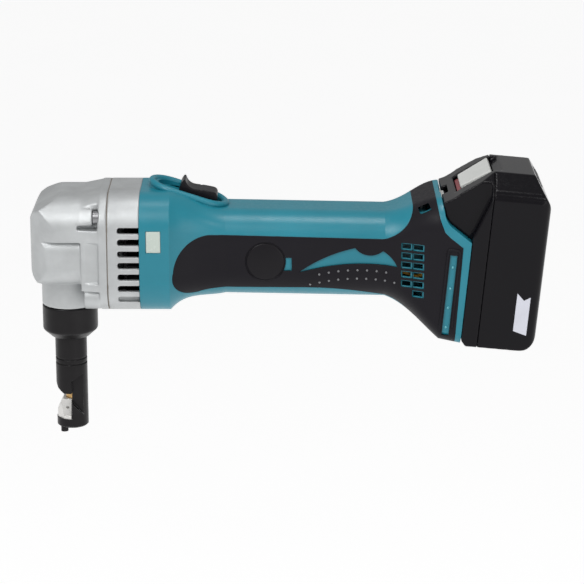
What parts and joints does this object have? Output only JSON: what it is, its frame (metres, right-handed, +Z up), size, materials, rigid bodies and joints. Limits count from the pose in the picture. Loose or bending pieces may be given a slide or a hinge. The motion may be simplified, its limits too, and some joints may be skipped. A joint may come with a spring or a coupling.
{
  "type": "cordless nibbler tool",
  "caption": "Cordless sheet-metal nibbler with a downward nose and die, reciprocating punch, crank drive, switch lever and slide-on battery.",
  "frame": {"origin": "cutting point at the top of the die, on the nose axis", "axes": "+X from the nose to the battery, +Y to the tool's right with the nose pointing away, +Z up along the nose"},
  "size_m": [0.309, 0.075, 0.1679],
  "materials": {
    "cast_silver": "satin cast",
    "gasket_paper": "matte fibre",
    "milky_plastic": "translucent",
    "screw_steel": "zinc plated",
    "black_oxide": "oiled black oxide",
    "tool_steel": "ground",
    "punch_steel": "gold coated",
    "bearing_steel": "ground",
    "laminations": "varnished",
    "copper": "varnished",
    "brass_trim": "plain",
    "carbon": "matte",
    "nylon_white": "matte",
    "black_plastic": "fine grain",
    "blue_plastic": "fine grain",
    "grip_rubber": "soft matte",
    "wire_cover": "smooth",
    "battery_black": "glossy",
    "button_grey": "satin",
    "red_plastic": "glossy",
    "cell_wrap": "shrink film",
    "board_green": "lacquered"
  },
  "bodies": {
    "housing": {"gear_housing": "cast_silver", "housing_gasket": "gasket_paper", "bearing_box": "cast_silver", "gear_housing_screws": "screw_steel", "ram_sleeve": "brass_trim", "crank_front_bearing": "bearing_steel", "crank_rear_bearing": "bearing_steel", "motor_front_bearing": "bearing_steel", "motor_rear_bearing": "bearing_steel", "baffle_plate": "black_plastic", "magnet_yoke": "screw_steel", "field_magnets": "carbon", "carbon_brushes": "carbon", "brush_holders": "brass_trim", "brush_springs": "screw_steel", "brush_caps": "black_plastic", "housing_left": "blue_plastic", "housing_right": "blue_plastic", "grip_left": "grip_rubber", "grip_right": "grip_rubber", "housing_screws": "screw_steel", "side_inserts": "milky_plastic", "switch_body": "black_plastic", "terminal_block": "black_plastic", "terminal_blades": "brass_trim", "lead_wires": "wire_cover"},
    "armature": {"motor_shaft": "bearing_steel", "armature_core": "laminations", "armature_windings": "copper", "commutator": "copper", "cooling_fan": "black_plastic"},
    "crank": {"crankshaft": "tool_steel", "crank_gear": "tool_steel"},
    "rod": {"connecting_rod": "tool_steel", "rod_needle_bearing": "bearing_steel"},
    "ram_set": {"ram": "bearing_steel", "punch": "punch_steel", "punch_bolt": "screw_steel", "wrist_pin": "bearing_steel"},
    "die_set": {"die_holder": "black_oxide", "die": "tool_steel", "die_bolts": "black_oxide"},
    "nut": {"lock_nut": "black_oxide"},
    "lever": {"switch_lever": "black_plastic"},
    "switch_slide": {"switch_rod": "nylon_white", "switch_knob": "nylon_white"},
    "battery": {"battery_upper_case": "battery_black", "battery_lower_case": "battery_black", "latch_indicator": "red_plastic", "battery_cells": "cell_wrap", "cell_holder": "black_plastic", "battery_board": "board_green", "battery_contacts": "brass_trim", "charge_panel": "black_plastic"},
    "button": {"battery_button": "button_grey"},
    "cover_left": {"brush_cover_left": "black_plastic"},
    "cover_right": {"brush_cover_right": "black_plastic"}
  },
  "joints": [
    {"name": "armature_spin", "type": "hinge", "parent": "housing", "child": "armature", "pos_m": [0.07, 0, 0.093], "axis": [1, 0, 0], "continuous": true},
    {"name": "crank_spin", "type": "hinge", "parent": "housing", "child": "crank", "pos_m": [0.015, 0, 0.1119], "axis": [1, 0, 0], "continuous": true},
    {"name": "rod_swing", "type": "hinge", "parent": "crank", "child": "rod", "pos_m": [0, 0, 0.1097], "axis": [1, 0, 0], "continuous": true},
    {"name": "punch_stroke", "type": "slide", "parent": "housing", "child": "ram_set", "axis": [0, 0, 1], "range_m": [0, 0.0044]},
    {"name": "die_holder_turn", "type": "hinge", "parent": "housing", "child": "die_set", "pos_m": [0, 0, 0.02], "axis": [0, 0, 1], "range_deg": [-90, 90]},
    {"name": "lock_nut_turn", "type": "hinge", "parent": "housing", "child": "nut", "pos_m": [0, 0, 0.045], "axis": [0, 0, 1], "range_deg": [0, 180]},
    {"name": "switch_slide", "type": "slide", "parent": "housing", "child": "lever", "axis": [-0.9511, 0, 0.309], "range_m": [0, 0.006]},
    {"name": "switch_rod_slide", "type": "slide", "parent": "housing", "child": "switch_slide", "axis": [-1, 0, 0], "range_m": [0, 0.00571]},
    {"name": "battery_slide", "type": "slide", "parent": "housing", "child": "battery", "axis": [0.0924, 0, 0.9957], "range_m": [0, 0.095]},
    {"name": "battery_button_press", "type": "slide", "parent": "battery", "child": "button", "axis": [0.8686, 0, 0.4955], "range_m": [0, 0.004], "stiffness_N_per_m": 900},
    {"name": "brush_cover_left_pull", "type": "slide", "parent": "housing", "child": "cover_left", "axis": [0, -1, 0], "range_m": [0, 0.02]},
    {"name": "brush_cover_right_pull", "type": "slide", "parent": "housing", "child": "cover_right", "axis": [0, 1, 0], "range_m": [0, 0.02]}
  ],
  "couplings": [
    {"joint": "crank_spin", "follows": "armature_spin", "ratio": -0.125},
    {"joint": "rod_swing", "follows": "armature_spin", "ratio": 0.125},
    {"joint": "switch_rod_slide", "follows": "switch_slide", "ratio": 0.951}
  ]
}
